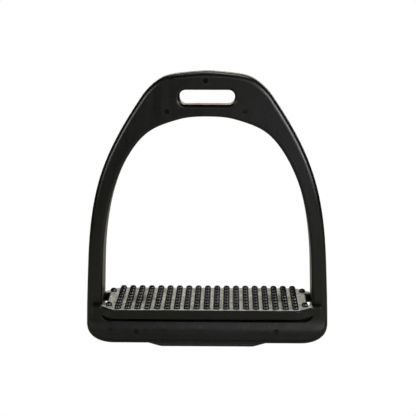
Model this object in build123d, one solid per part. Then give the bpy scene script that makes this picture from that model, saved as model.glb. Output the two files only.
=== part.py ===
from build123d import *
import os

# Stirrup iron: a one-piece moulded frame and a cushioned, studded tread.
# Millimetres. X runs along the tread, Y is the direction the foot points, Z is up.
# The origin is under the middle of the iron, at the lowest point of the base pad.

# ---- driving dimensions: frame ----
head_top = 159.1            # top of the head
arch_top = 133.7            # highest point of the foot opening
outer_half_width = 69.7     # widest point, beside the tread
inner_half_width = 60.5     # foot opening at tread level, just over half the nominal 120 mm
base_bottom = 2.3           # underside of the base bar
base_top = 16.2             # top of the base bar
base_half_depth = 12.5      # front to back, half, at the base
arm_half_depth = 10.6       # front to back, half, where the arms pass the tread
head_half_depth = 5.8       # front to back, half, at the head
outer_edge_radius = 3.0     # rounding of the frame's outline, front and back
inner_edge_radius = 1.6     # rounding round the foot opening

# ---- driving dimensions: leather slot ----
slot_width = 31.3
slot_height = 8.3
slot_bottom = 140.4
slot_corner_radius = 3.6
slot_lip_radius = 2.0

# ---- driving dimensions: tread ----
tray_bottom = 20.7
tray_top = 25.9
tread_top = 26.2            # face of the metal plate
tray_half_depth = 24.2
tray_end_half_depth = 16.6  # the tray is shallower where it passes the arms
tray_half_width = 66.0
tray_floor = 2.4
rim_width = 0.9             # wall round the pocket that holds the mat and plate
plate_thickness = 1.2
notch_half_width = 58.0     # the tread's end between the front and back wings
notch_half_depth = 12.0
pocket_half_width = 60.3
tray_edge_radius = 0.8

# ---- driving dimensions: studs ----
stud_columns = 19
stud_rows = 8
stud_column_pitch = 5.61
stud_row_pitch = 6.0
stud_radius = 1.9
stud_height = 2.0           # above the plate
hole_clearance = 0.08
dome_height = 1.8
web_overlap = 0.9           # how far a stud's root reaches into the web
corner_stud_rows = (1, 6)   # second row from the front and from the back

# ---- driving dimensions: dishes in the plate above the guide bolts ----
dish_radius = 8.0
dish_depth = 0.6

# ---- driving dimensions: guide bolts and buffers, one set near each end ----
bolt_x = 39.3
bolt_radius = 2.5
bolt_head_radius = 4.2
bolt_end = 5.0              # lowest point of the bolts
nut_width = 8.0             # across flats
nut_height = 3.0
nut_play = 0.05             # below its washer, so that the nut never binds
nut_well_radius = 5.1
nut_well_top = 9.2
nut_washer_radius = 4.8
nut_washer_thickness = 0.8
buffer_seat_radius = 8.3
buffer_seat_bottom = 13.0
buffer_radius = 7.6
buffer_bore_radius = 3.1
bushing_radius = 3.6
bushing_clearance = 0.06
bushing_flange_radius = 6.5
bushing_flange_thickness = 1.0

# ---- driving dimensions: base pad ----
pad_top_half_width = 34.0
pad_bottom_half_width = 26.0
pad_half_depth = 10.0
pad_edge_radius = 0.8
pad_screw_x = 17.0
pad_screw_head_radius = 2.9
pad_screw_radius = 1.5
pad_screw_length = 8.5
pad_head_recess = 0.3
pad_insert_radius = 2.3
pad_insert_length = 7.0

# ---- driving dimensions: marks of the mould's ejector pins, as x, z and half depth there ----
ejector_marks = [(-22.6, 136.6, 5.95), (21.4, 136.8, 5.95), (-0.8, 153.9, 5.8)]
ejector_marks = ejector_marks + [(-40.7, 9.8, 12.5), (40.1, 9.8, 12.5)]
mark_radius = 1.7
mark_depth = 0.5

reach = 200.0               # longer than the iron in any direction


def mirrored_outline(right_half):
    """Close a right-hand run of edges on the YZ plane with its mirror image."""
    left_half = [plain_edge(mirror(edge, about=Plane.YZ)) for edge in right_half]
    return make_face(right_half + left_half)


def outer_outline():
    """The frame seen from the front, filled: base corners, arms, sloping shoulders, head."""
    base_edge = Line((0, base_bottom), (54, base_bottom))
    base_corner = Bezier(
        (54, base_bottom), (63.5, base_bottom), (outer_half_width, 6.8), (outer_half_width, 14)
    )
    arm_foot = Bezier((outer_half_width, 14), (outer_half_width, 24), (68.9, 38.9), (68.4, 50))
    arm_side = Spline(
        (68.4, 50), (65.8, 78), (60, 102), (48.9, 126), (37.5, 144.1),
        tangents=((-0.045, 1), (-0.56, 0.83)),
    )
    shoulder = Spline(
        (37.5, 144.1), (32.6, 150), (26.7, 154.7), (16, 157.8),
        tangents=((-0.56, 0.83), (-0.98, 0.12)),
    )
    crown = Bezier((16, 157.8), (11, 158.4), (4, head_top), (0, head_top))
    run = [base_edge, base_corner, arm_foot, arm_side, shoulder, crown]
    return mirrored_outline([plain_edge(curve) for curve in run])


def foot_opening_outline():
    """The foot opening from the base bar's top to the arch."""
    bar_edge = Line((0, base_top), (55, base_top))
    bar_corner = Bezier((55, base_top), (59, base_top), (inner_half_width, 18), (inner_half_width, 22))
    arm_foot = Bezier((inner_half_width, 22), (inner_half_width, 30), (60.1, 38), (59.8, 48))
    arm_inside = Spline(
        (59.8, 48), (57.7, 72), (51.9, 96), (43, 114), (31.5, 126), (18.5, 131.3), (0, arch_top),
        tangents=((-0.03, 1), (-1, 0)),
    )
    run = [bar_edge, bar_corner, arm_foot, arm_inside]
    return mirrored_outline([plain_edge(curve) for curve in run])


def plain_edge(curve):
    return curve.edges()[0]


def side_outline():
    """The frame seen from the end: deep at the base, slimming up to the head."""
    base_front = Line((0, 0), (base_half_depth, 0))
    base_side = Line((base_half_depth, 0), (base_half_depth, 9))
    lean = Bezier(
        (base_half_depth, 9), (base_half_depth, 12.5), (arm_half_depth, 13.5), (arm_half_depth, 21)
    )
    taper = Spline(
        (arm_half_depth, 21), (9.8, 66), (7.4, 112), (head_half_depth, 144),
        tangents=((0, 1), (0, 1)),
    )
    head_side = Line((head_half_depth, 144), (head_half_depth, reach))
    head_cap = Line((head_half_depth, reach), (0, reach))
    run = [base_front, base_side, lean, taper, head_side, head_cap]
    return mirrored_outline([plain_edge(curve) for curve in run])


def rod(x, radius, bottom, top):
    """An upright round rod between two heights, in the middle of the depth."""
    return Pos(x, 0, (bottom + top) / 2) * Cylinder(radius, top - bottom)


def foot_opening():
    return extrude(Plane.XZ * foot_opening_outline(), amount=reach / 2, both=True)


def leather_slot():
    outline = Plane.XZ * Pos(0, slot_bottom + slot_height / 2) * RectangleRounded(
        slot_width, slot_height, slot_corner_radius
    )
    return extrude(outline, amount=reach / 2, both=True)


def frame():
    front_view = extrude(Plane.XZ * outer_outline(), amount=reach / 2, both=True)
    side_view = extrude(Plane.YZ * side_outline(), amount=reach / 2, both=True)
    body = front_view & side_view
    body = fillet(body.edges().filter_by(runs_along_a_face), outer_edge_radius)
    for cutter, radius in ((foot_opening(), inner_edge_radius), (leather_slot(), slot_lip_radius)):
        body = body - cutter
        rim = [edge for edge in body.edges() if runs_along_a_face(edge) and lies_on(cutter, edge)]
        body = fillet(rim, radius)
    for x in (-bolt_x, bolt_x):
        body = body - rod(x, buffer_seat_radius, buffer_seat_bottom, base_top + 1)
        body = body - rod(x, bushing_radius, nut_well_top, buffer_seat_bottom)
        body = body - rod(x, nut_well_radius, 0, nut_well_top)
    for x in (-pad_screw_x, pad_screw_x):
        body = body - rod(x, pad_insert_radius, 0, base_bottom + pad_insert_length)
        body = body - rod(x, pad_screw_radius + 0.3, 0, base_bottom + pad_screw_length)
    for x, z, half_depth in ejector_marks:
        body = body - ejector_mark(x, z, half_depth)
    return body


def runs_along_a_face(edge):
    """True for an edge in the front or back face, as opposed to one that crosses the frame."""
    start = edge.position_at(0)
    end = edge.position_at(1)
    return start.Y * end.Y > 0


def lies_on(cutter, edge):
    """True for an edge that the cutter left in the frame."""
    return cutter.distance_to(edge.position_at(0.5)) < 0.01


def ejector_mark(x, z, half_depth):
    """A shallow round cut in the front face."""
    return Pos(x, -half_depth, z) * Rot(90, 0, 0) * Cylinder(mark_radius, 2 * mark_depth)


def tread_outline(inset):
    """The tread from above: deeper between the arms, with two wings at each end."""
    half_depth = tray_half_depth - inset
    end_half_depth = tray_end_half_depth - inset
    half_width = tray_half_width - inset
    front_edge = Line((0, -half_depth), (50, -half_depth))
    ease = Bezier((50, -half_depth), (56, -half_depth), (57.5, -end_half_depth), (62, -end_half_depth))
    wing_front = Line((62, -end_half_depth), (half_width - 1.5, -end_half_depth))
    wing_corner = Bezier(
        (half_width - 1.5, -end_half_depth),
        (half_width, -end_half_depth),
        (half_width, -end_half_depth + 1.5),
    )
    wing_depth = notch_half_depth + inset
    wing_end = Line((half_width, -end_half_depth + 1.5), (half_width, -wing_depth))
    notch_side = Line((half_width, -wing_depth), (notch_half_width - inset + 1.5, -wing_depth))
    notch_corner = Bezier(
        (notch_half_width - inset + 1.5, -wing_depth),
        (notch_half_width - inset, -wing_depth),
        (notch_half_width - inset, -wing_depth + 1.5),
    )
    notch_end = Line((notch_half_width - inset, -wing_depth + 1.5), (notch_half_width - inset, 0))
    run = [front_edge, ease, wing_front, wing_corner, wing_end, notch_side, notch_corner, notch_end]
    quarter = [plain_edge(curve) for curve in run]
    right_half = quarter + [plain_edge(mirror(edge, about=Plane.XZ)) for edge in quarter]
    return mirrored_outline(right_half)


def pocket_outline():
    """The pocket and what lies in it stop short of the wings."""
    window = Rectangle(2 * pocket_half_width, 2 * tray_half_depth)
    return tread_outline(rim_width) & window


def slab(outline, bottom, top):
    return extrude(Pos(0, 0, bottom) * outline, amount=top - bottom)


def stud_places():
    """Centres of all studs: full columns, then one extra stud beside each corner."""
    places = []
    last_column = (stud_columns - 1) / 2
    last_row = (stud_rows - 1) / 2
    for column in range(stud_columns):
        for row in range(stud_rows):
            x = (column - last_column) * stud_column_pitch
            y = (row - last_row) * stud_row_pitch
            places.append((x, y))
    for side in (-1, 1):
        for row in corner_stud_rows:
            x = side * (last_column + 1) * stud_column_pitch
            places.append((x, (row - last_row) * stud_row_pitch))
    return places


def tread_tray():
    tray = slab(tread_outline(0), tray_bottom, tray_top)
    outer_rims = tray.faces().sort_by(Axis.Z)[0].edges() + tray.faces().sort_by(Axis.Z)[-1].edges()
    tray = fillet(outer_rims, tray_edge_radius)
    tray = tray - slab(pocket_outline(), tray_bottom + tray_floor, tread_top + 1)
    for x in (-bolt_x, bolt_x):
        tray = tray - rod(x, bolt_radius + hole_clearance, tray_bottom - 1, tread_top)
        tray = tray - bolt_head(x, hole_clearance)
    return tray


def bolt_head(x, growth):
    """The countersunk head of a guide bolt, or the seat for it when it is grown a little."""
    head_height = bolt_head_radius - bolt_radius
    top = tray_bottom + tray_floor
    cone = Cone(bolt_radius + growth, bolt_head_radius + growth, head_height)
    return Pos(x, 0, top - head_height / 2) * cone


def guide_bolt(x):
    """A countersunk bolt that hangs from the tray and slides in the frame's bushing."""
    top = tray_bottom + tray_floor
    bolt = rod(x, bolt_radius, bolt_end, top) + bolt_head(x, 0)
    socket = Pos(x, 0, top) * extrude(RegularPolygon(1.5, 6, major_radius=False), amount=-1.2)
    return bolt - socket


def lock_nut(x):
    top = nut_well_top - nut_washer_thickness - nut_play
    hexagon = RegularPolygon(nut_width / 2, 6, major_radius=False)
    nut = Pos(x, 0, top - nut_height) * extrude(hexagon, amount=nut_height)
    return nut - rod(x, bolt_radius, 0, top + 1)


def nut_washer(x):
    bottom = nut_well_top - nut_washer_thickness
    disc = rod(x, nut_washer_radius, bottom, nut_well_top)
    return disc - rod(x, bolt_radius + bushing_clearance, 0, nut_well_top + 1)


def bushing(x):
    """A flanged bushing in the base bar; its flange carries the buffer."""
    flange_top = buffer_seat_bottom + bushing_flange_thickness
    sleeve = rod(x, bushing_radius, nut_well_top, buffer_seat_bottom)
    flange = rod(x, bushing_flange_radius, buffer_seat_bottom, flange_top)
    return sleeve + flange - rod(x, bolt_radius + bushing_clearance, 0, flange_top + 1)


def buffer(x):
    """A rubber ring between the bushing's flange and the underside of the tray."""
    bottom = buffer_seat_bottom + bushing_flange_thickness
    ring = rod(x, buffer_radius, bottom, tray_bottom) - rod(x, buffer_bore_radius, 0, tray_bottom + 1)
    return ring


def dish(x, surface):
    """Cutter for a shallow saucer in a surface, above a guide bolt."""
    ball_radius = (dish_radius ** 2 + dish_depth ** 2) / (2 * dish_depth)
    return Pos(x, 0, surface - dish_depth + ball_radius) * Sphere(ball_radius)


def stud():
    """One stud with a domed tip, standing on the mat's web; its axis is Z."""
    root = tread_top - plate_thickness - web_overlap
    tip = tread_top + stud_height
    side = Line((stud_radius, root), (stud_radius, tip - dome_height))
    dome = Bezier((stud_radius, tip - dome_height), (stud_radius, tip - 0.2), (1.0, tip), (0, tip))
    axis = Line((0, tip), (0, root))
    floor = Line((0, root), (stud_radius, root))
    profile = make_face([plain_edge(curve) for curve in (side, dome, axis, floor)])
    return revolve(Plane.XZ * profile, Axis.Z)


def stud_mat():
    """The rubber mat: a thin web with all the studs moulded on it."""
    web_top = tread_top - plate_thickness
    web = slab(pocket_outline(), tray_bottom + tray_floor, web_top)
    for x in (-bolt_x, bolt_x):
        web = web - dish(x, web_top)
    pin = stud()
    pins = [Pos(x, y, 0) * pin for x, y in stud_places()]
    return web + pins


def tread_plate():
    """The perforated metal plate, dished above each guide bolt, with a hole for every stud."""
    plate_bottom = tread_top - plate_thickness
    plate = slab(pocket_outline(), plate_bottom, tread_top)
    below = slab(pocket_outline(), plate_bottom - dish_depth, plate_bottom)
    for x in (-bolt_x, bolt_x):
        plate = plate + (dish(x, plate_bottom) & below)
        plate = plate - dish(x, tread_top)
    punch = Cylinder(stud_radius + hole_clearance, 4 * plate_thickness)
    punches = [Pos(x, y, tread_top) * punch for x, y in stud_places()]
    return plate - punches


def base_pad():
    """The keel under the base bar: a flat block with sloping ends."""
    corners = [
        (-pad_top_half_width, base_bottom),
        (-pad_bottom_half_width, 0),
        (pad_bottom_half_width, 0),
        (pad_top_half_width, base_bottom),
    ]
    side = make_face(Polyline(*corners, close=True))
    pad = extrude(Plane.XZ * side, amount=pad_half_depth, both=True)
    lower_edges = pad.faces().sort_by(Axis.Z)[0].edges()
    pad = fillet(lower_edges, pad_edge_radius)
    for x in (-pad_screw_x, pad_screw_x):
        pad = pad - rod(x, pad_screw_radius + 0.1, -1, base_bottom + 1)
        pad = pad - rod(x, pad_screw_head_radius + 0.1, -1, pad_head_recess)
        pad = pad - pad_screw_head(x, 0.1)
    return pad


def pad_screw_head(x, growth):
    head_height = pad_screw_head_radius - pad_screw_radius
    cone = Cone(pad_screw_head_radius + growth, pad_screw_radius + growth, head_height)
    return Pos(x, 0, pad_head_recess + head_height / 2) * cone


def pad_screw(x):
    """A small countersunk screw, head down, with a hexagon socket."""
    screw = rod(x, pad_screw_radius, pad_head_recess + 1, pad_screw_length) + pad_screw_head(x, 0)
    socket = Pos(x, 0, pad_head_recess) * extrude(RegularPolygon(1.0, 6, major_radius=False), amount=0.9)
    return screw - socket


def pad_insert(x):
    return rod(x, pad_insert_radius, base_bottom, base_bottom + pad_insert_length) - rod(
        x, pad_screw_radius, 0, reach / 10
    )


def pair(make):
    """The left and right copies of one piece, together."""
    return Compound(children=[make(-pad_screw_x), make(pad_screw_x)])


def write(name, shape):
    export_step(shape, "parts/" + name + ".step")


os.makedirs("parts", exist_ok=True)
write("frame", frame())
write("tread_tray", tread_tray())
write("stud_mat", stud_mat())
write("tread_plate", tread_plate())
for side, x in (("left", -bolt_x), ("right", bolt_x)):
    write("guide_bolt_" + side, guide_bolt(x))
    write("lock_nut_" + side, lock_nut(x))
    write("nut_washer_" + side, nut_washer(x))
    write("bushing_" + side, bushing(x))
    write("buffer_" + side, buffer(x))
write("base_pad", base_pad())
write("pad_screws", pair(pad_screw))
write("pad_inserts", pair(pad_insert))
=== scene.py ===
import math
import bpy
import bmesh
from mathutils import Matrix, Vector


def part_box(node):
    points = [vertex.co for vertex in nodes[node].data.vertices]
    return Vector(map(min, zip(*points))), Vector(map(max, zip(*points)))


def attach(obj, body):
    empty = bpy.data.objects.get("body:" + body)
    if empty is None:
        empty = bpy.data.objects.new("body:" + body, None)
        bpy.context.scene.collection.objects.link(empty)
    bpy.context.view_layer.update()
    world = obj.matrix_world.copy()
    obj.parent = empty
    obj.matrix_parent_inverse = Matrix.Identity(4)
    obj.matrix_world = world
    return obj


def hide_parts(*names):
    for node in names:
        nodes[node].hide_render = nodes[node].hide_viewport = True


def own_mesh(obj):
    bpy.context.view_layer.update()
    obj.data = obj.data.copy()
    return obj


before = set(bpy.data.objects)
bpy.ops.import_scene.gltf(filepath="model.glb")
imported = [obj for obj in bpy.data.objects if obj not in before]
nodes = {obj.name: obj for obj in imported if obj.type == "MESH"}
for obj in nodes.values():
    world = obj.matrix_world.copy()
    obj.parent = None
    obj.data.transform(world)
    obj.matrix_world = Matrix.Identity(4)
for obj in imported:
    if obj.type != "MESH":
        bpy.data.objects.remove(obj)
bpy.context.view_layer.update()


def newMaterial(name):
    mat = bpy.data.materials.new(name)
    mat.use_nodes = True
    tree = mat.node_tree
    shader = tree.nodes["Principled BSDF"]
    return mat, tree, shader


def addNode(tree, kind, **values):
    node = tree.nodes.new(kind)
    for name, value in values.items():
        if name in node.inputs:
            node.inputs[name].default_value = value
        else:
            setattr(node, name, value)
    return node


def place(tree, scale=(1, 1, 1)):
    coords = addNode(tree, "ShaderNodeTexCoord")
    mapping = addNode(tree, "ShaderNodeMapping")
    mapping.inputs["Scale"].default_value = scale
    tree.links.new(coords.outputs["Object"], mapping.inputs["Vector"])
    return mapping.outputs["Vector"]


def noise(tree, where, scale, detail=4.0, roughness=0.55):
    tex = addNode(tree, "ShaderNodeTexNoise", Scale=scale, Detail=detail, Roughness=roughness)
    tree.links.new(where, tex.inputs["Vector"])
    return tex.outputs["Fac"]


def ramp(tree, value, stops):
    node = addNode(tree, "ShaderNodeValToRGB")
    band = node.color_ramp
    while len(band.elements) < len(stops):
        band.elements.new(0.5)
    for element, (at, colour) in zip(band.elements, stops):
        element.position = at
        element.color = (*colour, 1.0) if len(colour) == 3 else colour
    tree.links.new(value, node.inputs["Fac"])
    return node.outputs["Color"]


def span(tree, value, low, high, fromLow=0.0, fromHigh=1.0):
    node = addNode(tree, "ShaderNodeMapRange")
    node.inputs["From Min"].default_value = fromLow
    node.inputs["From Max"].default_value = fromHigh
    node.inputs["To Min"].default_value = low
    node.inputs["To Max"].default_value = high
    tree.links.new(value, node.inputs["Value"])
    return node.outputs["Result"]


def mixColour(tree, factor, first, second):
    node = addNode(tree, "ShaderNodeMix", data_type="RGBA")
    for socket, value in (("Factor", factor), ("A", first), ("B", second)):
        target = [s for s in node.inputs if s.name == socket and (s.type == "RGBA" or socket == "Factor")][0]
        if hasattr(value, "links"):
            tree.links.new(value, target)
        else:
            target.default_value = value
    return [s for s in node.outputs if s.type == "RGBA"][0]


def mathNode(tree, operation, first, second):
    node = addNode(tree, "ShaderNodeMath", operation=operation)
    for socket, value in zip(node.inputs, (first, second)):
        if hasattr(value, "links"):
            tree.links.new(value, socket)
        else:
            socket.default_value = value
    return node.outputs["Value"]


def bump(tree, shader, height, strength, distance):
    node = addNode(tree, "ShaderNodeBump", Strength=strength, Distance=distance)
    tree.links.new(height, node.inputs["Height"])
    tree.links.new(node.outputs["Normal"], shader.inputs["Normal"])


def edgeMask(tree, low, high):  # 0 on flats, 1 on sharp outer edges
    geometry = addNode(tree, "ShaderNodeNewGeometry")
    return span(tree, geometry.outputs["Pointiness"], 0.0, 1.0, low, high)


# the edge colour stands for edge wear and a painted highlight along the bevels in one
nylonLook = {
    "frame": {
        "dark": (0.0026, 0.0025, 0.0015), "light": (0.0044, 0.0043, 0.0030), "edge": (0.010, 0.010, 0.010),
        "roughLow": 0.23, "roughHigh": 0.38, "grain": 0.00002, "specular": 0.38, "pinMarks": True,
    },
    "tray": {
        "dark": (0.0026, 0.0026, 0.0016), "light": (0.0042, 0.0042, 0.0030), "edge": (0.008, 0.008, 0.008),
        "roughLow": 0.30, "roughHigh": 0.42, "grain": 0.00003, "specular": 0.31, "pinMarks": False,
    },
}
nylonPattern = {
    "clouds": 38.0, "edgeWear": 150.0, "rubMarks": 190.0, "fine": 2600.0, "waves": 90.0,
    "sharpEdge": (0.52, 0.60), "fineShare": 0.12,
}


# round marks of the mould's pins in the front face, with painted shade in the pit and a painted highlight on
# the rim: x and z of the middle, and how strong
pinMarks = {
    "places": [(-0.0226, 0.1366, 0.75), (0.0214, 0.1368, 0.45), (-0.0008, 0.1539, 0.9),
               (-0.0407, 0.0098, 0.45), (0.0401, 0.0098, 0.35)],
    "radius": 0.0017, "rim": 0.0024,
    "paintedPitShade": (0.0008, 0.0008, 0.0008, 1.0), "paintedRimHighlight": (0.014, 0.014, 0.014, 1.0), "dulling": 0.8,
    "facing": 0.2,
}


def frontFacing(tree):  # 1 on faces that look to -Y
    geometry = addNode(tree, "ShaderNodeNewGeometry")
    facing = addNode(tree, "ShaderNodeVectorMath", operation="DOT_PRODUCT")
    facing.inputs[1].default_value = (0, -1, 0)
    tree.links.new(geometry.outputs["Normal"], facing.inputs[0])
    return mathNode(tree, "GREATER_THAN", facing.outputs["Value"], pinMarks["facing"])


def paintedMarkShading(tree):  # painted shade in the pits and painted highlight on their rims
    coords = addNode(tree, "ShaderNodeTexCoord")
    flat = addNode(tree, "ShaderNodeVectorMath", operation="MULTIPLY")
    flat.inputs[1].default_value = (1, 0, 1)
    tree.links.new(coords.outputs["Object"], flat.inputs[0])
    reach = 2 * pinMarks["rim"]
    inside, rim = pinMarks["radius"] / reach, pinMarks["rim"] / reach
    black, white = (0, 0, 0), (1, 1, 1)
    pits, halos = 0.0, 0.0
    for x, z, strength in pinMarks["places"]:
        gap = addNode(tree, "ShaderNodeVectorMath", operation="DISTANCE")
        gap.inputs[1].default_value = (x, 0, z)
        tree.links.new(flat.outputs["Vector"], gap.inputs[0])
        share = span(tree, gap.outputs["Value"], 0.0, 1.0, 0.0, reach)
        pit = ramp(tree, share, [(inside * 0.55, white), (inside * 1.1, black)])
        halo = ramp(tree, share, [(inside * 0.9, black), ((inside + rim) / 2, white), (rim * 1.15, black)])
        pits = mathNode(tree, "ADD", mathNode(tree, "MULTIPLY", pit, strength), pits)
        halos = mathNode(tree, "ADD", mathNode(tree, "MULTIPLY", halo, strength), halos)
    front = frontFacing(tree)
    return mathNode(tree, "MULTIPLY", pits, front), mathNode(tree, "MULTIPLY", halos, front)


def addPinMarks(tree, shader, colour, shininess):
    pit, halo = paintedMarkShading(tree)
    # the rims get a painted highlight, the pits painted shade and less shine
    lighter = mixColour(tree, halo, colour, pinMarks["paintedRimHighlight"])
    darker = mixColour(tree, pit, lighter, pinMarks["paintedPitShade"])
    tree.links.new(darker, shader.inputs["Base Color"])
    dulled = mathNode(tree, "MULTIPLY", pit, pinMarks["dulling"])
    shine = mathNode(tree, "MULTIPLY", mathNode(tree, "SUBTRACT", 1.0, dulled), shininess)
    tree.links.new(shine, shader.inputs["Specular IOR Level"])


def mouldedNylon(name, look):
    mat, tree, shader = newMaterial(name)
    where = place(tree)
    pattern = nylonPattern
    clouds = noise(tree, where, pattern["clouds"], 5.0)
    base = ramp(tree, clouds, [(0.30, look["dark"]), (0.72, look["light"])])
    # sharp edges are painted lighter: partly edge wear, partly a painted highlight along the bevels
    edges = edgeMask(tree, *pattern["sharpEdge"])
    worn = mathNode(tree, "MULTIPLY", edges, noise(tree, where, pattern["edgeWear"], 3.0))
    colour = mixColour(tree, worn, base, (*look["edge"], 1.0))
    tree.links.new(colour, shader.inputs["Base Color"])
    upright = place(tree, (1.0, 1.0, 0.12))  # long upright rub marks
    smears = noise(tree, upright, pattern["rubMarks"], 6.0, 0.7)
    rough = span(tree, smears, look["roughLow"], look["roughHigh"], 0.3, 0.7)
    tree.links.new(rough, shader.inputs["Roughness"])
    shader.inputs["Specular IOR Level"].default_value = look["specular"]
    if look["pinMarks"]:
        addPinMarks(tree, shader, colour, look["specular"])
    fine = noise(tree, where, pattern["fine"], 2.0)
    waves = noise(tree, where, pattern["waves"], 2.0)
    height = mathNode(tree, "ADD", mathNode(tree, "MULTIPLY", fine, pattern["fineShare"]), waves)
    bump(tree, shader, height, 0.5, look["grain"])
    return mat


rubberLook = {
    "stud": {
        "dark": (0.0012, 0.0012, 0.0012), "light": (0.0028, 0.0028, 0.0026),
        "roughLow": 0.09, "roughHigh": 0.15, "specular": 1.0, "wornSpecular": 0.05, "wornRough": 0.6,
        "footShine": 0.12, "grain": 0.000006,
    },
    "pad": {
        "dark": (0.005, 0.005, 0.005), "light": (0.010, 0.010, 0.0095),
        "roughLow": 0.50, "roughHigh": 0.68, "specular": 0.5, "wornSpecular": 0.4, "wornRough": 0.7,
        "footShine": 1.0, "grain": 0.00005,
    },
}
rubberWear = {"tip": (0.55, 0.82), "foot": (0.04, 0.34)}  # how far the surface turns up, from 0 to 1


def rubber(name, look):
    mat, tree, shader = newMaterial(name)
    where = place(tree)
    tree.links.new(
        ramp(tree, noise(tree, where, 160.0), [(0.3, look["dark"]), (0.7, look["light"])]),
        shader.inputs["Base Color"],
    )
    geometry = addNode(tree, "ShaderNodeNewGeometry")
    height = addNode(tree, "ShaderNodeSeparateXYZ")
    tree.links.new(geometry.outputs["Normal"], height.inputs[0])
    worn = span(tree, height.outputs["Z"], 0.0, 1.0, *rubberWear["tip"])  # tips are rubbed dull
    dust = noise(tree, where, 420.0, 5.0)
    fresh = span(tree, dust, look["roughLow"], look["roughHigh"], 0.3, 0.7)
    duller = mathNode(tree, "MULTIPLY", worn, look["wornRough"] - look["roughHigh"])
    tree.links.new(mathNode(tree, "ADD", fresh, duller), shader.inputs["Roughness"])
    shine = span(tree, worn, look["specular"], look["wornSpecular"])
    lifted = span(tree, height.outputs["Z"], look["footShine"], 1.0, *rubberWear["foot"])  # grime on the foot
    tree.links.new(mathNode(tree, "MULTIPLY", shine, lifted), shader.inputs["Specular IOR Level"])
    bump(tree, shader, noise(tree, where, 1900.0, 2.0), 0.25, look["grain"])
    return mat


# the last colour here is painted shade for the two dishes above the guide bolts
plateLook = {
    "dark": (0.29, 0.31, 0.265), "middle": (0.60, 0.62, 0.56), "light": (0.93, 0.95, 0.88),
    "roughLow": 0.40, "roughHigh": 0.58, "metallic": 0.35,
    "dishX": 0.0393, "dishHeight": 0.026, "dishRadius": 0.0125, "dishShadeColour": (0.07, 0.074, 0.062),
}


def paintedDishShade(tree, look):  # painted shade darkens the plate in the two dishes above the guide bolts
    coords = addNode(tree, "ShaderNodeTexCoord")
    shade = 0.0
    for side in (-1, 1):
        gap = addNode(tree, "ShaderNodeVectorMath", operation="DISTANCE")
        gap.inputs[1].default_value = (side * look["dishX"], 0, look["dishHeight"])
        tree.links.new(coords.outputs["Object"], gap.inputs[0])
        near = span(tree, gap.outputs["Value"], 1.0, 0.0, 0.002, look["dishRadius"])
        shade = mathNode(tree, "ADD", near, shade)
    speckle = span(tree, noise(tree, place(tree), 900.0, 4.0), 0.55, 1.0, 0.35, 0.6)
    return mathNode(tree, "MULTIPLY", shade, speckle)


def zincSheet(name, look):
    mat, tree, shader = newMaterial(name)
    where = place(tree)
    crystals = addNode(tree, "ShaderNodeTexVoronoi", Scale=760.0)
    tree.links.new(where, crystals.inputs["Vector"])
    tone = addNode(tree, "ShaderNodeSeparateColor")
    tree.links.new(crystals.outputs["Color"], tone.inputs["Color"])
    clouds = noise(tree, where, 170.0, 6.0, 0.7)
    mottle = mathNode(tree, "ADD", mathNode(tree, "MULTIPLY", tone.outputs["Red"], 0.42),
                      mathNode(tree, "MULTIPLY", clouds, 0.66))
    colour = ramp(tree, mottle, [(0.25, look["dark"]), (0.52, look["middle"]), (0.82, look["light"])])
    # painted shade in the two dishes
    dishShaded = mixColour(tree, paintedDishShade(tree, look), colour, (*look["dishShadeColour"], 1.0))
    tree.links.new(dishShaded, shader.inputs["Base Color"])
    rough = span(tree, mottle, look["roughHigh"], look["roughLow"], 0.3, 0.8)
    tree.links.new(rough, shader.inputs["Roughness"])
    shader.inputs["Metallic"].default_value = look["metallic"]
    bump(tree, shader, noise(tree, where, 1200.0, 4.0), 0.4, 0.00004)
    return mat


metalLook = {
    "steel": {"dark": (0.42, 0.42, 0.43), "light": (0.62, 0.62, 0.63), "roughLow": 0.24, "roughHigh": 0.40},
    "brass": {"dark": (0.50, 0.36, 0.14), "light": (0.74, 0.57, 0.27), "roughLow": 0.28, "roughHigh": 0.45},
}


def turnedMetal(name, look):
    mat, tree, shader = newMaterial(name)
    rings = place(tree, (1.0, 1.0, 12.0))  # turning marks run round the Z axis
    streaks = noise(tree, rings, 260.0, 4.0)
    colour = ramp(tree, streaks, [(0.3, look["dark"]), (0.7, look["light"])])
    rough = span(tree, streaks, look["roughLow"], look["roughHigh"], 0.3, 0.7)
    tree.links.new(colour, shader.inputs["Base Color"])
    tree.links.new(rough, shader.inputs["Roughness"])
    shader.inputs["Metallic"].default_value = 1.0
    bump(tree, shader, streaks, 0.3, 0.00003)
    return mat


frameNylon = mouldedNylon("satin_frame_nylon", nylonLook["frame"])
trayNylon = mouldedNylon("tray_nylon", nylonLook["tray"])
studRubber = rubber("stud_rubber", rubberLook["stud"])
padRubber = rubber("pad_rubber", rubberLook["pad"])
zincPlate = zincSheet("zinc_plate", plateLook)
plainSteel = turnedMetal("plain_steel", metalLook["steel"])
turnedBrass = turnedMetal("turned_brass", metalLook["brass"])

finishes = {
    "frame": frameNylon, "tread_tray": trayNylon, "stud_mat": studRubber, "tread_plate": zincPlate,
    "base_pad": padRubber, "pad_screws": plainSteel, "pad_inserts": turnedBrass,
}
for side in ("left", "right"):
    finishes["guide_bolt_" + side] = plainSteel
    finishes["lock_nut_" + side] = plainSteel
    finishes["nut_washer_" + side] = plainSteel
    finishes["bushing_" + side] = turnedBrass
    finishes["buffer_" + side] = padRubber

for nodeName, finish in finishes.items():
    for materialSlot in nodes[nodeName].material_slots:
        materialSlot.material = finish
print("finishes on", len(finishes), "nodes")


stepsRound = 48


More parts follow.
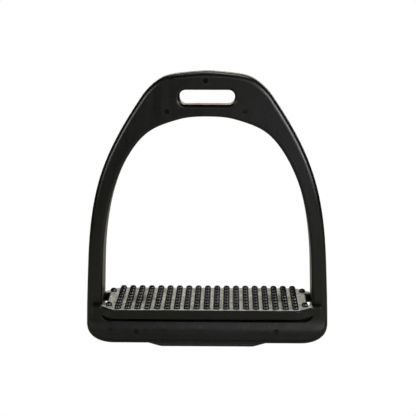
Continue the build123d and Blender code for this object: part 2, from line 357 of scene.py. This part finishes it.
def turnedPiece(name, centre, rings, hollow):  # rings: (radius at an angle, height) per level
    steps = stepsRound
    shape = bmesh.new()
    loops = []
    for radiusAt, height in rings:
        loop = []
        for step in range(steps):
            angle = 2 * math.pi * step / steps
            radius = radiusAt(angle)
            spot = (centre[0] + radius * math.cos(angle), centre[1] + radius * math.sin(angle), height)
            loop.append(shape.verts.new(spot))
        loops.append(loop)
    pairs = list(zip(loops, loops[1:]))
    if hollow:
        pairs.append((loops[-1], loops[0]))
    else:
        shape.faces.new(list(reversed(loops[0])))
        shape.faces.new(loops[-1])
    for lower, upper in pairs:
        for step in range(steps):
            following = (step + 1) % steps
            shape.faces.new((lower[step], lower[following], upper[following], upper[step]))
    bmesh.ops.recalc_face_normals(shape, faces=shape.faces)
    mesh = bpy.data.meshes.new(name)
    shape.to_mesh(mesh)
    shape.free()
    piece = bpy.data.objects.new(name, mesh)
    bpy.context.scene.collection.objects.link(piece)
    return piece


def smoothBySharpness(piece, degrees):
    for face in piece.data.polygons:
        face.use_smooth = True
    piece.data.set_sharp_from_angle(angle=math.radians(degrees))


def middleOf(node):
    low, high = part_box(node)
    return (low + high) / 2


def steady(radius):
    return lambda angle: radius


nutPlan = {
    "acrossFlats": 0.0080, "bore": 0.00255, "chamfer": 0.0004, "leadIn": 0.0004,
    "collarHeight": 0.0008, "collarRadius": 0.0034, "collarRounding": 0.0003,
}


def hexagonRadius(acrossFlats, limit):
    def radiusAt(angle):
        offset = (angle + math.pi / 6) % (math.pi / 3) - math.pi / 6
        return min(acrossFlats / 2 / math.cos(offset), limit)
    return radiusAt


def lockNut(side):
    node = "lock_nut_" + side
    low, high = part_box(node)
    flats, bore = nutPlan["acrossFlats"], nutPlan["bore"]
    collar, rounding = nutPlan["collarRadius"], nutPlan["collarRounding"]
    corner = flats / 2 / math.cos(math.pi / 6)
    collarTop = low.z + nutPlan["collarHeight"]
    rings = [
        (steady(bore + nutPlan["leadIn"]), low.z),
        (steady(collar - rounding), low.z),
        (steady(collar), low.z + rounding),
        (steady(collar), collarTop),
        (hexagonRadius(flats, flats / 2), collarTop),
        (hexagonRadius(flats, corner), collarTop + nutPlan["chamfer"]),
        (hexagonRadius(flats, corner), high.z - nutPlan["chamfer"]),
        (hexagonRadius(flats, flats / 2), high.z),
        (steady(bore), high.z),
        (steady(bore), low.z + nutPlan["leadIn"]),
    ]
    nut = turnedPiece("nut_" + side, middleOf(node), rings, True)
    smoothBySharpness(nut, 25)
    nut.data.materials.append(plainSteel)
    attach(nut, "tread")
    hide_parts(node)


boltPlan = {
    "radius": 0.0025, "threadDepth": 0.0003, "pitch": 0.0008, "threadLength": 0.0046, "threadLevels": 46,
    "threadStart": 0.0003, "runOut": 0.0002, "tipTaper": 0.0006, "headRadius": 0.0042,
}


def threadRadius(plan, height):
    def radiusAt(angle):
        turn = (height / plan["pitch"] - angle / (2 * math.pi)) % 1.0
        return plan["radius"] - plan["threadDepth"] * abs(2 * turn - 1)
    return radiusAt


def guideBolt(side):
    node = "guide_bolt_" + side
    low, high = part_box(node)
    plan = boltPlan
    rings = [(steady(plan["radius"] - plan["tipTaper"]), low.z)]
    start, levels = plan["threadStart"], plan["threadLevels"]
    for level in range(levels):
        height = low.z + start + (plan["threadLength"] - start) * level / (levels - 1)
        rings.append((threadRadius(plan, height), height))
    neck = high.z - (plan["headRadius"] - plan["radius"])
    rings.append((steady(plan["radius"]), low.z + plan["threadLength"] + plan["runOut"]))
    rings.append((steady(plan["radius"]), neck))
    rings.append((steady(plan["headRadius"]), high.z))
    bolt = turnedPiece("bolt_" + side, middleOf(node), rings, False)
    smoothBySharpness(bolt, 35)
    bolt.data.materials.append(plainSteel)
    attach(bolt, "tread")
    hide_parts(node)


bufferPlan = {
    "outer": 0.0076, "bore": 0.0031, "grooveDepth": 0.0009, "grooves": 3, "levels": 31, "rounding": 0.0005,
}


def ribbedBuffer(side):
    node = "buffer_" + side
    low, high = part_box(node)
    plan = bufferPlan
    tall = high.z - low.z
    rings = [(steady(plan["bore"]), low.z)]
    for level in range(plan["levels"]):
        share = level / (plan["levels"] - 1)
        wave = math.sin(math.pi * plan["grooves"] * share) ** 2
        roundOff = plan["rounding"] if level in (0, plan["levels"] - 1) else 0.0
        groove = plan["grooveDepth"] * (1 - wave)
        rings.append((steady(plan["outer"] - groove - roundOff), low.z + tall * share))
    rings.append((steady(plan["bore"]), high.z))
    ring = turnedPiece("rubber_buffer_" + side, middleOf(node), rings, True)
    smoothBySharpness(ring, 60)
    ring.data.materials.append(padRubber)
    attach(ring, "frame")
    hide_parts(node)
    foot = middleOf(node)
    foot.z = low.z
    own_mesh(ring)


for side in ("left", "right"):
    lockNut(side)
    guideBolt(side)
    ribbedBuffer(side)
print("nuts, bolts and buffers made")


studio = {
    "floorSize": 6.0,
    "floorLevel": -0.0003,  # just under the base pad
    "floorRoughness": 0.8,
    "paintedPoolFade": (0.10, 0.75),  # where the painted pool of light near the iron ends and the dim far floor starts
    "paintedPoolBright": (0.62, 0.59, 0.52),
    "paintedPoolDim": (0.20, 0.19, 0.16),
    "roomGrey": 0.015,
    "lights": {
        # name: (place, where it points, width, height, watts, colour)
        "rightSoftbox": ((0.62, -0.60, 0.40), (0.0, 0.0, 0.06), 0.36, 0.32, 4.8, (0.97, 0.99, 1.0)),
        "leftSoftbox": ((-0.60, -0.58, 0.38), (0.0, 0.0, 0.06), 0.30, 0.28, 2.3, (1.0, 0.99, 0.96)),
        "overheadSoftbox": ((0.10, 0.20, 0.95), (0.0, 0.0, 0.03), 0.5, 0.3, 3.0, (1.0, 1.0, 0.97)),
        "frontBand": ((0.40, -1.50, 0.48), (0.0, 0.0, 0.08), 1.1, 0.34, 2.8, (0.96, 0.98, 1.0)),
        "lowCard": ((0.085, -0.69, 0.05), (0.03, 0.0, 0.13), 0.07, 0.05, 0.05, (0.84, 0.92, 1.0)),
        "backdropStrip": ((0.0, 1.10, 0.31), (0.0, 0.0, 0.10), 2.0, 0.15, 2.3, (1.0, 0.88, 0.72)),
    },
}


def whiteForCamera(tree, others, kind):  # pure white backdrop, calm light on the object
    path = addNode(tree, "ShaderNodeLightPath")
    white = addNode(tree, kind)
    white.inputs["Color"].default_value = (1, 1, 1, 1)
    white.inputs["Strength"].default_value = 1.0
    mix = addNode(tree, "ShaderNodeMixShader")
    tree.links.new(path.outputs["Is Camera Ray"], mix.inputs["Fac"])
    tree.links.new(others, mix.inputs[1])
    tree.links.new(white.outputs[0], mix.inputs[2])
    return mix.outputs[0]


def buildRoom():
    world = bpy.data.worlds.new("studio")
    bpy.context.scene.world = world
    world.use_nodes = True
    tree = world.node_tree
    calm = tree.nodes["Background"]
    grey = studio["roomGrey"]
    calm.inputs["Color"].default_value = (grey, grey, grey, 1)
    shade = whiteForCamera(tree, calm.outputs[0], "ShaderNodeBackground")
    tree.links.new(shade, tree.nodes["World Output"].inputs["Surface"])


def buildFloor():
    half = studio["floorSize"] / 2
    mesh = bpy.data.meshes.new("studio_floor")
    level = studio["floorLevel"]
    corners = [(-half, -half, level), (half, -half, level), (half, half, level), (-half, half, level)]
    mesh.from_pydata(corners, [], [(0, 1, 2, 3)])
    floor = bpy.data.objects.new("studio_floor", mesh)
    bpy.context.scene.collection.objects.link(floor)
    mat, tree, shader = newMaterial("pale_floor")
    coords = addNode(tree, "ShaderNodeTexCoord")
    away = addNode(tree, "ShaderNodeVectorMath", operation="LENGTH")
    tree.links.new(coords.outputs["Object"], away.inputs[0])
    # floor colour is painted brighter near the iron and darker far off, a painted pool of light seen in
    # reflections and bounce; camera rays see plain white
    nearEnd, farStart = studio["paintedPoolFade"]
    shades = [(nearEnd, studio["paintedPoolBright"]), (farStart, studio["paintedPoolDim"])]
    tree.links.new(ramp(tree, away.outputs["Value"], shades), shader.inputs["Base Color"])
    shader.inputs["Roughness"].default_value = studio["floorRoughness"]
    shade = whiteForCamera(tree, shader.outputs[0], "ShaderNodeEmission")
    geometry = addNode(tree, "ShaderNodeNewGeometry")  # from below the floor isn't there
    oneSided = addNode(tree, "ShaderNodeMixShader")
    tree.links.new(geometry.outputs["Backfacing"], oneSided.inputs["Fac"])
    tree.links.new(shade, oneSided.inputs[1])
    tree.links.new(addNode(tree, "ShaderNodeBsdfTransparent").outputs[0], oneSided.inputs[2])
    tree.links.new(oneSided.outputs[0], tree.nodes["Material Output"].inputs["Surface"])
    mesh.materials.append(mat)


def buildLights():
    for name, (at, target, width, height, power, tint) in studio["lights"].items():
        lamp = bpy.data.lights.new(name, "AREA")
        lamp.shape = "RECTANGLE"
        lamp.size = width
        lamp.size_y = height
        lamp.energy = power
        lamp.color = tint
        holder = bpy.data.objects.new(name, lamp)
        holder.location = at
        aim = Vector(target) - Vector(at)
        holder.rotation_euler = aim.to_track_quat("-Z", "Y").to_euler()
        holder.visible_camera = False
        bpy.context.scene.collection.objects.link(holder)


cameraPlan = {
    "place": (0.0139, -0.7011, 0.2267),
    "tilt": 78.2,      # degrees up from straight down
    "turn": 1.1,       # degrees to the left
    "lens": 107.74,    # on a 36 mm wide sensor
}


def buildCamera():
    lens = bpy.data.cameras.new("camera")
    lens.sensor_width = 36.0
    lens.lens = cameraPlan["lens"]
    lens.clip_start = 0.01
    camera = bpy.data.objects.new("camera", lens)
    camera.location = cameraPlan["place"]
    camera.rotation_euler = (math.radians(cameraPlan["tilt"]), 0.0, math.radians(cameraPlan["turn"]))
    bpy.context.scene.collection.objects.link(camera)
    bpy.context.scene.camera = camera


buildRoom()
buildFloor()
buildLights()
buildCamera()
bpy.context.scene.view_settings.view_transform = "Standard"
print("studio ready")
